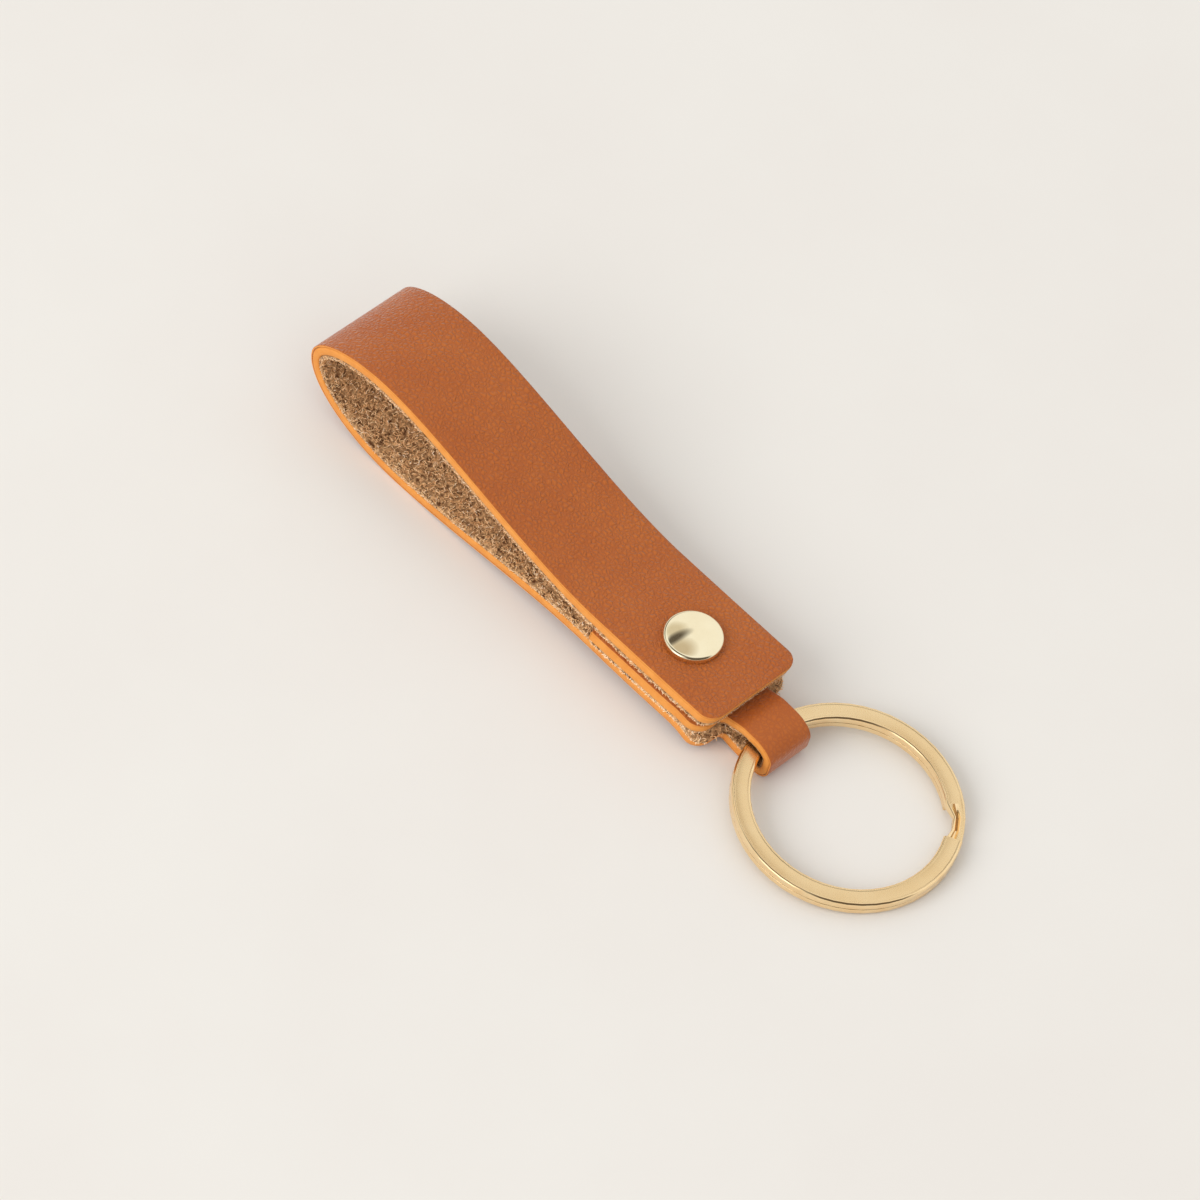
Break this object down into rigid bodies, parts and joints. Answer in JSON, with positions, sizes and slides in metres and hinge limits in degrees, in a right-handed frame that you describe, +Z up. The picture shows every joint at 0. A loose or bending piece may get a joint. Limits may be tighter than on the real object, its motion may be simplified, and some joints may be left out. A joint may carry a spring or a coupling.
{
  "type": "keychain",
  "caption": "Leather strap keychain: a folded strip riveted into a finger loop, its narrow neck holding a flat split ring.",
  "frame": {"origin": "under the middle of the whole keychain, on the surface it lies on", "axes": "+X along the strap from the finger loop towards the ring, +Y across it, +Z up out of the grain side with the front cap"},
  "size_m": [0.1061, 0.03, 0.0156],
  "materials": {
    "grain": "tan fine-grained skin, soft satin",
    "core": "bright orange cut edge, matt",
    "fleece": "brown mottled fleece with pale fibres",
    "cap_gold": "pale gold, mirror polished",
    "ring_gold": "pale gold plate, satin faces and polished walls",
    "rivet_steel": "plain drawn steel"
  },
  "bodies": {
    "strap": {"loop_skin": "grain", "loop_core": "core", "loop_backing": "fleece", "tongue_skin": "grain", "tongue_core": "core", "tongue_backing": "fleece", "rivet_front_cap": "cap_gold", "rivet_post": "rivet_steel", "rivet_rear_cap": "cap_gold", "rivet_socket": "rivet_steel"},
    "neck": {"neck_skin": "grain", "neck_core": "core", "neck_backing": "fleece"},
    "ring": {"split_ring": "ring_gold"}
  },
  "joints": [
    {"name": "neck_bend", "type": "hinge", "parent": "strap", "child": "neck", "pos_m": [0.02305, -0.0006, 0.00315], "axis": [0, -1, 0], "range_deg": [-75, 60]},
    {"name": "ring_turn", "type": "hinge", "parent": "neck", "child": "ring", "pos_m": [0.03801, 0, 0.00213], "axis": [0.0686, 0, 0.9976], "continuous": true}
  ]
}
